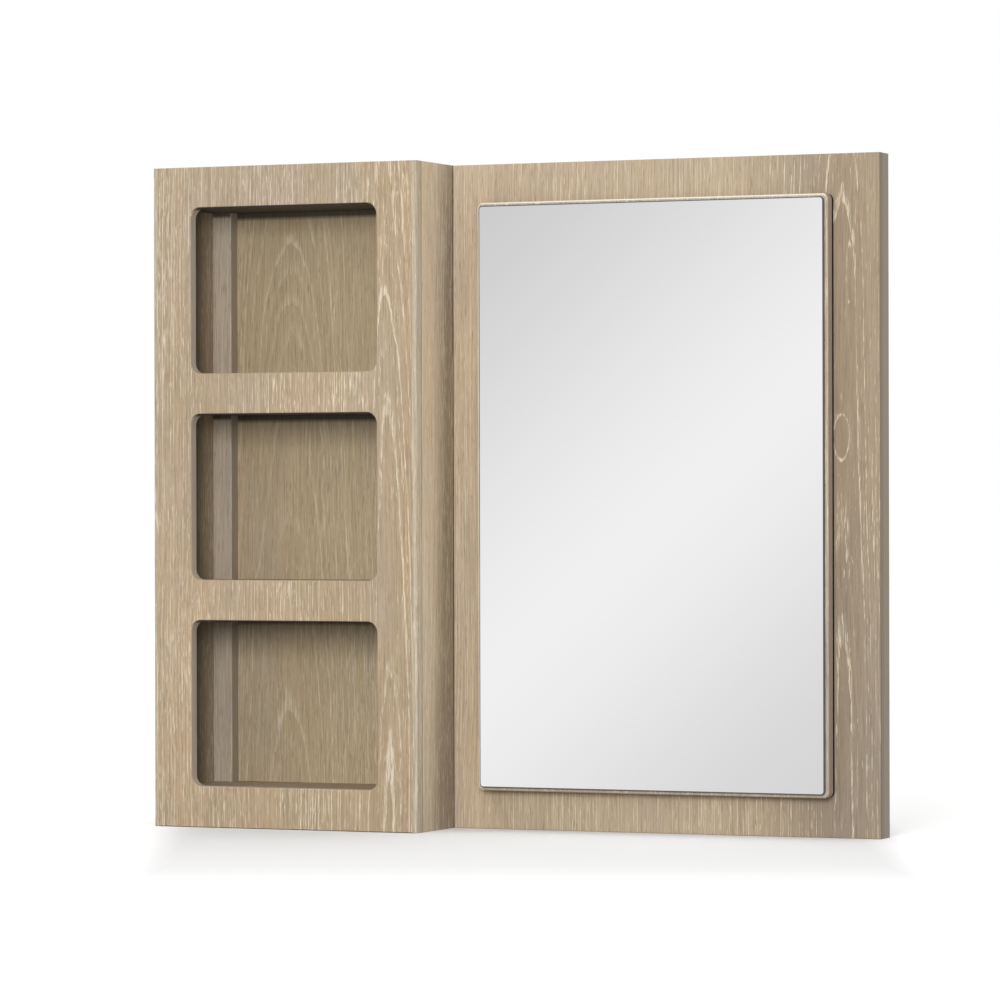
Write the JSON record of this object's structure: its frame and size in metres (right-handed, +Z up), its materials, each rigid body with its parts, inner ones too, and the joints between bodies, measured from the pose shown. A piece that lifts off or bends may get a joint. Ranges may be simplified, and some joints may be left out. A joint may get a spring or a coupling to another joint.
{
  "type": "shutter mirror",
  "caption": "Dresser-top mirror on a thick board with a deep open shadow box beside it, its rounded windows one above the other, in limed oak.",
  "frame": {"origin": "middle of the bounding box, on the surface that the object stands on", "axes": "+X to the viewer's right across the front, +Y to the rear (the front faces -Y), +Z up"},
  "size_m": [1.136, 0.1844, 1.016],
  "materials": {
    "limed_oak": "limed oak veneer, open white-filled grain, matt lacquer",
    "oak_lipping": "solid oak strip, limed, matt lacquer",
    "limed_oak_inside": "limed oak veneer, matt lacquer",
    "core_wood": "planed softwood",
    "mirror_pane": "silvered float glass with a ground arris",
    "bonding_foam": "closed-cell foam strip",
    "zinc_steel": "zinc-plated steel",
    "insert_brass": "turned brass",
    "bumper_rubber": "soft black rubber"
  },
  "bodies": {
    "cabinet": {"face_frame": "limed_oak", "corner_lipping_left": "oak_lipping", "corner_lipping_right": "oak_lipping", "side_panel_left": "limed_oak", "side_panel_right": "limed_oak", "top_panel": "limed_oak", "top_liner": "limed_oak_inside", "top_battens": "core_wood", "bottom_panel": "limed_oak", "floor_liner": "limed_oak_inside", "bottom_battens": "core_wood", "upper_shelf_top_skin": "limed_oak_inside", "upper_shelf_bottom_skin": "limed_oak_inside", "upper_shelf_core": "core_wood", "lower_shelf_top_skin": "limed_oak_inside", "lower_shelf_bottom_skin": "limed_oak_inside", "lower_shelf_core": "core_wood", "box_back_panel": "limed_oak_inside", "back_panel_pins": "zinc_steel", "back_stile_left": "limed_oak", "back_stile_middle": "limed_oak", "back_stile_right": "limed_oak", "box_rail_top": "limed_oak", "box_rail_bottom": "limed_oak", "mirror_rail_top": "limed_oak", "mirror_rail_middle": "limed_oak", "mirror_rail_bottom": "limed_oak", "mirror_board": "limed_oak", "mirror_backer": "limed_oak", "mirror_tape": "bonding_foam", "mirror_glass": "mirror_pane", "case_dowels": "core_wood", "shelf_dowels": "core_wood", "frame_dowels": "core_wood", "case_screws": "zinc_steel", "frame_screws": "zinc_steel", "backer_screws": "zinc_steel", "hanger_strap_left": "zinc_steel", "hanger_strap_right": "zinc_steel", "hanger_screws": "zinc_steel", "support_inserts": "insert_brass", "wall_bumpers": "bumper_rubber"},
    "left_ring": {"hanger_ring_left": "zinc_steel"},
    "right_ring": {"hanger_ring_right": "zinc_steel"}
  },
  "joints": [
    {"name": "left_ring_swing", "type": "hinge", "parent": "cabinet", "child": "left_ring", "pos_m": [-0.5395, 0.08886, 0.86], "axis": [1, 0, 0], "range_deg": [0, 175]},
    {"name": "right_ring_swing", "type": "hinge", "parent": "cabinet", "child": "right_ring", "pos_m": [0.5395, 0.08886, 0.86], "axis": [1, 0, 0], "range_deg": [0, 175]}
  ]
}
